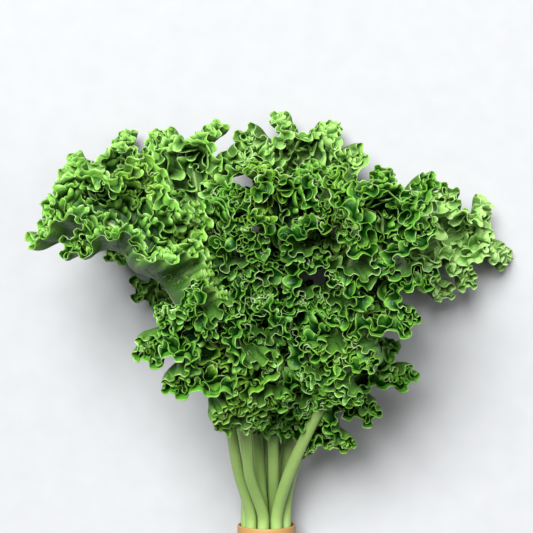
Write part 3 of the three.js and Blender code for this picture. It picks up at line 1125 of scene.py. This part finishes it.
@dataclass
class Leaf:
    """One leaf: a blade with its frill, and a stalk that runs on as the midrib."""

    form: LeafForm
    surface: LeafSurface = field(init=False)

    def __post_init__(self) -> None:
        """Works out the leaf's surface."""
        self.surface = LeafSurface(self.form)

    def build(
        self, factory: PieceFactory, blade: bpy.types.Material, stalk: bpy.types.Material
    ) -> list[bpy.types.Object]:
        """Makes the leaf's two pieces.

        Args:
            factory: maker of pieces.
            blade: material of the blade.
            stalk: material of the stalk.

        Returns:
            The pieces.
        """
        name = self.form.name
        sheets = [BladeSheet(self.surface).mesh(), *Frill(self.surface).meshes()]
        mesh = without_strays(MeshArrays.joined(sheets))
        leaf = factory.piece(f"{name}_leaf", f"{name}_blade", mesh, blade, Slot.BLADE)
        store(leaf, "flat", mesh.looks[:, :2] * MM)
        for attribute, column in (("out", OUT), ("edge", EDGE), ("upper", UPPER)):
            store(leaf, attribute, mesh.looks[:, column])
        # Each leaf's tone, with its painted shade or painted backlight, for the material.
        store(leaf, "tone", np.full(len(mesh.vertices), self.form.tone))
        rib = factory.piece(f"{name}_rib", f"{name}_stalk", Stalk(self.surface).mesh(), stalk, Slot.STALK)
        return [leaf, rib]


@dataclass
class Band:
    """Rubber band round the stalks: a flat strip with rounded edges.

    Attributes:
        inner_radius: radius of its inside, in millimetres.
        thickness: thickness of the strip.
        width: width of the strip.
        segments: segments round the bundle.
        section_points: points round the strip's section.
        roundness: power of the section's sine and cosine, 1 for an ellipse and less for squarer.
    """

    inner_radius: float = BAND_INNER_RADIUS
    thickness: float = BAND_THICKNESS
    width: float = BAND_WIDTH
    segments: int = 96
    section_points: int = 20
    roundness: float = 0.4

    def mesh(self) -> MeshArrays:
        """Superellipse of the strip's section, carried round the bundle.

        Returns:
            The mesh.
        """
        turn = np.linspace(0, 2 * np.pi, self.section_points, endpoint=False)
        radial = np.sign(np.cos(turn)) * np.abs(np.cos(turn)) ** self.roundness
        level = np.sign(np.sin(turn)) * np.abs(np.sin(turn)) ** self.roundness
        r = self.inner_radius + self.thickness / 2 * (1 + radial)
        angle = 2 * np.pi * np.arange(self.segments)[:, None] / self.segments
        across = np.broadcast_to(self.width / 2 * level, (self.segments, self.section_points))
        points = np.stack([r * np.cos(angle), across, BUNDLE_HEIGHT + r * np.sin(angle)], -1)
        i = np.arange(self.segments)[:, None] * self.section_points
        after = (i + self.section_points) % (self.segments * self.section_points)
        j = np.arange(self.section_points)[None]
        beside = (j + 1) % self.section_points
        corners = (i + j, i + beside, after + beside, after + j)
        return MeshArrays(points.reshape(-1, 3), np.stack([c.ravel() for c in corners], -1))

    def build(self, factory: PieceFactory, look: bpy.types.Material) -> bpy.types.Object:
        """Makes the band's piece."""
        return factory.piece("rubber_band", "band", self.mesh(), look, Slot.BAND)


@dataclass
class Nodes:
    """Short way to build a node tree."""

    tree: bpy.types.NodeTree

    def add(self, kind: str, inputs: dict | None = None, **settings: object) -> bpy.types.Node:
        """Adds a node.

        Args:
            kind: Blender's name for the node.
            inputs: values or other nodes' outputs, by the name or number of the socket.
            **settings: properties of the node.

        Returns:
            The node.
        """
        node = self.tree.nodes.new(kind)
        for key, value in settings.items():
            setattr(node, key, value)
        for key, value in (inputs or {}).items():
            self.feed(node.inputs[key], value)
        return node

    def feed(self, socket: Socket, value: object) -> None:
        """Gives a socket a value, or links another node's output to it.

        Args:
            socket: the input.
            value: a number, a colour without its alpha, a vector or an output.
        """
        if isinstance(value, Socket):
            self.tree.links.new(value, socket)
        elif socket.type == "RGBA":
            socket.default_value = (*value, 1.0)
        else:
            socket.default_value = value

    def math(self, operation: str, *values: Socket | float) -> Socket:
        """Adds a math node and returns its output."""
        return self.add("ShaderNodeMath", dict(enumerate(values)), operation=operation).outputs[0]

    def rest(self, value: Socket | float) -> Socket:
        """What is left of 1 without a value."""
        return self.math("SUBTRACT", 1.0, value)

    def mix(self, share: Socket | float, first: Socket | Triple, second: Socket | Triple) -> Socket:
        """Blends two colours."""
        inputs = {0: share, 6: first, 7: second}
        return self.add("ShaderNodeMix", inputs, data_type="RGBA").outputs[2]

    def ramp(self, value: Socket, ends: tuple[float, float]) -> Socket:
        """Smooth step of a value from 0 at the first end to 1 at the second."""
        inputs = {"Value": value, "From Min": ends[0], "From Max": ends[1]}
        return self.add("ShaderNodeMapRange", inputs, interpolation_type="SMOOTHSTEP").outputs["Result"]

    def noise(self, place: Socket, scale: Socket | float, detail: Socket | float = 2.0) -> Socket:
        """Noise of a place, 0 to 1."""
        inputs = {"Vector": place, "Scale": scale, "Detail": detail}
        return self.add("ShaderNodeTexNoise", inputs).outputs["Fac"]

    def place(self) -> Socket:
        """Place on the piece, in metres."""
        return self.add("ShaderNodeTexCoord").outputs["Object"]

    def mottle(self, place: Socket, scale: float, detail: float, dark: Triple, light: Triple) -> Socket:
        """Colour that varies between two others, from the group that the materials share.

        Args:
            place: place on the piece.
            scale: scale of the patches.
            detail: octaves of the noise.
            dark: one colour.
            light: the other colour.

        Returns:
            The colour.
        """
        group = bpy.data.node_groups.get(MOTTLE) or mottle_group()
        inputs = {"Place": place, "Scale": scale, "Detail": detail, "Dark": dark, "Light": light}
        return self.add("ShaderNodeGroup", inputs, node_tree=group).outputs["Colour"]


def mottle_group() -> bpy.types.NodeTree:
    """Node group that blends two colours by noise of the place.

    Returns:
        The group.
    """
    group = bpy.data.node_groups.new(MOTTLE, "ShaderNodeTree")
    kinds = {"Place": "Vector", "Scale": "Float", "Detail": "Float", "Dark": "Color", "Light": "Color"}
    for name, kind in kinds.items():
        group.interface.new_socket(name, in_out="INPUT", socket_type=f"NodeSocket{kind}")
    group.interface.new_socket("Colour", in_out="OUTPUT", socket_type="NodeSocketColor")
    nodes = Nodes(group)
    given = nodes.add("NodeGroupInput").outputs
    share = nodes.noise(given["Place"], given["Scale"], given["Detail"])
    nodes.add("NodeGroupOutput", {"Colour": nodes.mix(share, given["Dark"], given["Light"])})
    return group


def new_material(name: str, roughness: float) -> tuple[bpy.types.Material, Nodes, bpy.types.Node]:
    """Starts a material.

    Args:
        name: name of the material.
        roughness: roughness all over the surface.

    Returns:
        The material, its nodes and its main shader.
    """
    material = bpy.data.materials.new(name)
    material.use_nodes = True
    shader = material.node_tree.nodes["Principled BSDF"]
    shader.inputs["Roughness"].default_value = roughness
    return material, Nodes(material.node_tree), shader


@dataclass(frozen=True)
class LeafFinish:
    """Kale blade: green with painted shade towards the midrib and the frill's feet, lightening to a
    yellow-green lip, with pale veins, a whitish painted highlight on the rim in spots, painted backlight
    on pale leaves at the back, and duller underneath.

    Attributes are colours, scales of noise, ranges of the smooth steps between two looks, and shares by
    which one colour covers another. Widths and spacings of the veins are in metres on the flat blade.
    """

    name: str = "kale_leaf"
    patch_scale: float = 28.0
    patch_share: float = 0.4
    tone_and_shading_share: float = 0.75
    # Painted shade: the darker green towards the midrib and the feet of the frill, where the cavities lie.
    painted_shade: tuple[Triple, Triple] = ((0.001, 0.03, 0.0005), (0.005, 0.08, 0.001))
    bright: tuple[Triple, Triple] = ((0.014, 0.155, 0.002), (0.19, 0.50, 0.055))
    # Share of the way out over which the painted shade gives way to the bright green.
    outer: tuple[float, float] = (0.5, 1.0)
    warm: Triple = (0.29, 0.54, 0.03)
    warm_scale: float = 16.0
    warm_range: tuple[float, float] = (0.45, 0.75)
    warm_share: float = 0.6
    # Painted backlight: the pale greens that the leaves at the back take, both bright and in the painted
    # shade.
    backlit_tones: tuple[float, float] = (0.6, 1.3)
    backlit_bright: Triple = (0.38, 0.61, 0.2)
    backlit_shade: Triple = (0.28, 0.54, 0.13)
    back: Triple = (0.055, 0.15, 0.02)
    back_share: float = 0.75
    vein: Triple = (0.26, 0.46, 0.12)
    vein_share: float = 0.35
    vein_slope: float = 0.75
    vein_spacing: float = 0.013
    vein_widths: tuple[float, float] = (0.05, 0.08)
    wobble_scale: float = 60.0
    wobble: float = 0.006
    net_scale: float = 260.0
    net_range: tuple[float, float] = (0.0, 0.09)
    net_share: float = 0.35
    midrib_range: tuple[float, float] = (0.0012, 0.006)
    midrib_share: float = 0.8
    lip: Triple = (0.36, 0.68, 0.08)
    lip_range: tuple[float, float] = (0.3, 3.2)
    lip_share: float = 0.22
    # Painted highlight: the whitish colour that the rim takes in spots.
    rim: Triple = (0.84, 0.92, 0.62)
    rim_highlight_range: tuple[float, float] = (0.0, 0.8)
    rim_highlight_scale: float = 110.0
    rim_highlight_patches: tuple[float, float] = (0.48, 0.68)
    rim_highlight_share: float = 0.55
    roughness: float = 0.42
    specular: float = 0.32
    grain_scale: float = 330.0
    vein_relief: float = -0.6
    bump_strength: float = 0.7
    bump_distance: float = 0.001
    glow: Triple = (0.06, 0.45, 0.006)
    glow_share: float = 0.5
    translucency: float = 0.14

    def veins(self, nodes: Nodes, out: Socket) -> Socket:
        """Midrib, slanting side veins and a fine net between them, on the flat blade.

        Args:
            nodes: the material's nodes.
            out: share of the way out.

        Returns:
            Strength of the veins, 0 to 1.
        """
        flat = nodes.add("ShaderNodeAttribute", attribute_name="flat").outputs["Vector"]
        xyz = nodes.add("ShaderNodeSeparateXYZ", {"Vector": flat}).outputs
        across = nodes.math("ABSOLUTE", xyz["X"])
        climb = nodes.math("SUBTRACT", xyz["Y"], nodes.math("MULTIPLY", across, self.vein_slope))
        wobble = nodes.math("MULTIPLY", nodes.noise(flat, self.wobble_scale, 3.0), self.wobble)
        cell = nodes.math("DIVIDE", nodes.math("ADD", climb, wobble), self.vein_spacing)
        saw = nodes.math("PINGPONG", cell, 0.5)
        narrow, growth = self.vein_widths
        width = nodes.math("ADD", narrow, nodes.math("MULTIPLY", out, growth))
        side_vein = nodes.math("MAXIMUM", nodes.rest(nodes.math("DIVIDE", saw, width)), 0.0)
        cells = {"Vector": flat, "Scale": self.net_scale}
        net = nodes.add("ShaderNodeTexVoronoi", cells, feature="DISTANCE_TO_EDGE").outputs["Distance"]
        net_vein = nodes.rest(nodes.ramp(net, self.net_range))
        veins = nodes.math("MAXIMUM", side_vein, nodes.math("MULTIPLY", net_vein, self.net_share))
        midrib = nodes.rest(nodes.ramp(across, self.midrib_range))
        return nodes.math("MAXIMUM", veins, nodes.math("MULTIPLY", midrib, self.midrib_share))

    def greens(self, nodes: Nodes, place: Socket, out: Socket, tone: Socket) -> Socket:
        """Green of the upper face, from painted shade in the middle to the bright outer part.

        Args:
            nodes: the material's nodes.
            place: place on the piece.
            out: share of the way out.
            tone: how pale the leaf is, with painted shade and painted backlight in it.

        Returns:
            The colour, without veins or rim.
        """
        patch = nodes.math("MULTIPLY", nodes.noise(place, self.patch_scale, 3.0), self.patch_share)
        # Lightness from random patches and the leaf's tone, which paints shade on leaves lying under
        # others.
        light = nodes.math("ADD", patch, nodes.math("MULTIPLY", tone, self.tone_and_shading_share))
        warmth = nodes.ramp(nodes.noise(place, self.warm_scale), self.warm_range)
        bright = nodes.mix(light, *self.bright)
        bright = nodes.mix(nodes.math("MULTIPLY", warmth, self.warm_share), bright, self.warm)
        # Pale leaves at the back get painted backlight over both greens.
        pale = nodes.ramp(tone, self.backlit_tones)
        bright = nodes.mix(pale, bright, self.backlit_bright)
        painted_shade = nodes.mix(pale, nodes.mix(light, *self.painted_shade), self.backlit_shade)
        # Painted shade: darker towards the midrib and the frill's feet, lighter out towards the rim.
        return nodes.mix(nodes.ramp(out, self.outer), painted_shade, bright)

    def rimmed(self, nodes: Nodes, place: Socket, edge: Socket, body: Socket) -> Socket:
        """Adds the yellow-green lip and, in spots, a whitish painted highlight on the rim.

        Args:
            nodes: the material's nodes.
            place: place on the piece.
            edge: distance to the rim, in millimetres.
            body: colour of the blade.

        Returns:
            The colour with lip and painted rim highlight.
        """
        lip = nodes.rest(nodes.ramp(edge, self.lip_range))
        lipped = nodes.mix(nodes.math("MULTIPLY", lip, self.lip_share), body, self.lip)
        # Whitish painted highlight on the rim, in spots.
        highlight_spots = nodes.ramp(nodes.noise(place, self.rim_highlight_scale), self.rim_highlight_patches)
        rim = nodes.math("MULTIPLY", nodes.rest(nodes.ramp(edge, self.rim_highlight_range)), highlight_spots)
        return nodes.mix(nodes.math("MULTIPLY", rim, self.rim_highlight_share), lipped, self.rim)

    def material(self) -> bpy.types.Material:
        """Puts the blade's material together.

        Returns:
            The material.
        """
        material, nodes, shader = new_material(self.name, self.roughness)
        shader.inputs["Specular IOR Level"].default_value = self.specular
        place = nodes.place()
        out, edge, upper, tone = (
            nodes.add("ShaderNodeAttribute", attribute_name=name).outputs["Fac"]
            for name in ("out", "edge", "upper", "tone")
        )
        veins = self.veins(nodes, out)
        green = self.greens(nodes, place, out, tone)
        body = nodes.mix(upper, nodes.mix(self.back_share, green, self.back), green)
        outer_veins = nodes.math("MULTIPLY", veins, nodes.ramp(out, self.outer))
        veined = nodes.mix(nodes.math("MULTIPLY", outer_veins, self.vein_share), body, self.vein)
        colour = self.rimmed(nodes, place, edge, veined)
        nodes.feed(shader.inputs["Base Color"], colour)
        grain = nodes.noise(place, self.grain_scale)
        height = nodes.math("ADD", nodes.math("MULTIPLY", veins, self.vein_relief), grain)
        relief = {"Height": height, "Strength": self.bump_strength, "Distance": self.bump_distance}
        normal = nodes.add("ShaderNodeBump", relief).outputs["Normal"]
        nodes.feed(shader.inputs["Normal"], normal)
        glow = nodes.mix(self.glow_share, colour, self.glow)
        through = nodes.add("ShaderNodeBsdfTranslucent", {"Color": glow, "Normal": normal})
        both = {0: self.translucency, 1: shader.outputs[0], 2: through.outputs[0]}
        surface = material.node_tree.nodes["Material Output"].inputs["Surface"]
        nodes.feed(surface, nodes.add("ShaderNodeMixShader", both).outputs[0])
        return material


@dataclass(frozen=True)
class StalkFinish:
    """Pale green stalk with long streaks, which are also slightly raised."""

    name: str = "stalk"
    dark: Triple = (0.17, 0.32, 0.07)
    light: Triple = (0.34, 0.46, 0.15)
    patch_scale: float = 40.0
    patch_detail: float = 2.0
    streak: Triple = (0.16, 0.27, 0.06)
    streak_share: float = 0.4
    streak_scale: float = 700.0
    streak_stretch: Triple = (1.0, 0.06, 1.0)
    roughness: float = 0.42
    bump_strength: float = 0.3
    bump_distance: float = 0.0004

    def material(self) -> bpy.types.Material:
        """Puts the stalk's material together.

        Returns:
            The material.
        """
        material, nodes, shader = new_material(self.name, self.roughness)
        place = nodes.place()
        stretched = nodes.add("ShaderNodeMapping", {"Vector": place, "Scale": self.streak_stretch})
        streaks = nodes.noise(stretched.outputs["Vector"], self.streak_scale)
        base = nodes.mottle(place, self.patch_scale, self.patch_detail, self.dark, self.light)
        colour = nodes.mix(nodes.math("MULTIPLY", streaks, self.streak_share), base, self.streak)
        nodes.feed(shader.inputs["Base Color"], colour)
        relief = {"Height": streaks, "Strength": self.bump_strength, "Distance": self.bump_distance}
        nodes.feed(shader.inputs["Normal"], nodes.add("ShaderNodeBump", relief).outputs["Normal"])
        return material


@dataclass(frozen=True)
class PlainFinish:
    """One colour that darkens a little in patches."""

    name: str
    colour: Triple
    roughness: float
    patch_scale: float = 60.0
    patch_detail: float = 3.0
    darkening: float = 0.9

    def material(self) -> bpy.types.Material:
        """Puts the material together.

        Returns:
            The material.
        """
        material, nodes, shader = new_material(self.name, self.roughness)
        dark = tuple(self.darkening * part for part in self.colour)
        colour = nodes.mottle(nodes.place(), self.patch_scale, self.patch_detail, dark, self.colour)
        nodes.feed(shader.inputs["Base Color"], colour)
        return material


RUBBER = PlainFinish("rubber", (0.42, 0.22, 0.07), 0.6)
TABLE = PlainFinish("table", (0.412, 0.42, 0.433), 0.9)


@dataclass(frozen=True)
class Lamp:
    """Square area light, in metres and watts."""

    name: str
    place: Triple
    size: float
    power: float

    def build(self, target: Triple) -> None:
        """Hangs the light and turns it to a target.

        Args:
            target: the point that it shines on.
        """
        data = bpy.data.lights.new(self.name, "AREA")
        data.shape = "SQUARE"
        data.size = self.size
        data.energy = self.power
        light = bpy.data.objects.new(self.name, data)
        light.location = self.place
        direction = Vector(target) - Vector(self.place)
        light.rotation_euler = direction.to_track_quat("-Z", "Y").to_euler()
        bpy.context.scene.collection.objects.link(light)


@dataclass
class Stage:
    """Pale table, soft studio light and the camera over the bunch.

    Attributes:
        middle: point of the table under the middle of the picture, in metres.
        floor_size: side of the table.
        floor_drop: how far it lies below the part.
        sky: colour of the light from all round.
        sky_strength: its strength.
        lamps: the lights.
        aim: the point that they shine on.
        camera_height: height of the camera.
        view_width: width of the picture at one metre from the camera.
        sensor: width of the camera's sensor, in millimetres.
    """

    middle: tuple[float, float]
    floor_size: float = 8.0
    floor_drop: float = 0.0005
    sky: Triple = (1.0, 1.0, 0.98)
    sky_strength: float = 0.14
    lamps: tuple[Lamp, ...] = (
        Lamp("key", (-1.4, 3.0, 5.8), 3.8, 1100),
        Lamp("fill", (1.6, 0.2, 2.2), 2.0, 18),
    )
    aim: Triple = (0, 0, 0.05)
    camera_height: float = 1.1
    view_width: float = 0.3624
    sensor: float = 36.0

    def build(self) -> None:
        """Makes the floor, the lights and the camera."""
        bpy.ops.mesh.primitive_plane_add(size=self.floor_size, location=(0, 0, -self.floor_drop))
        floor = bpy.context.object
        floor.name = "floor"
        floor.data.materials.append(TABLE.material())
        world = bpy.data.worlds.new("studio")
        world.use_nodes = True
        background = world.node_tree.nodes["Background"].inputs
        background["Color"].default_value = (*self.sky, 1.0)
        background["Strength"].default_value = self.sky_strength
        bpy.context.scene.world = world
        for lamp in self.lamps:
            lamp.build(self.aim)
        data = bpy.data.cameras.new("camera")
        data.sensor_width = self.sensor
        data.lens = self.sensor / self.view_width
        camera = bpy.data.objects.new("camera", data)
        camera.location = (*self.middle, self.camera_height)
        bpy.context.scene.collection.objects.link(camera)
        bpy.context.scene.camera = camera
        bpy.context.scene.view_settings.view_transform = "Standard"


def report(piece: bpy.types.Object) -> None:
    """Logs a finished piece."""
    LOG.info("%s: %d faces", piece.name, len(piece.data.polygons))


def main() -> None:
    """Builds every piece and the stage."""
    logging.basicConfig(level=logging.INFO, format="%(message)s")
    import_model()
    low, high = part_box("band")
    shift = (np.array(low) + np.array(high)) / 2 / MM - np.array([0, 0, BUNDLE_HEIGHT])
    factory = PieceFactory(shift)
    blade_look = LeafFinish().material()
    stalk_look = StalkFinish().material()
    for form in LEAVES:
        for piece in Leaf(form).build(factory, blade_look, stalk_look):
            report(piece)
    report(Band().build(factory, RUBBER.material()))
    Stage((shift[0] * MM, (shift[1] + CROWN_MIDDLE_Y) * MM)).build()


if __name__ == "__main__":
    main()
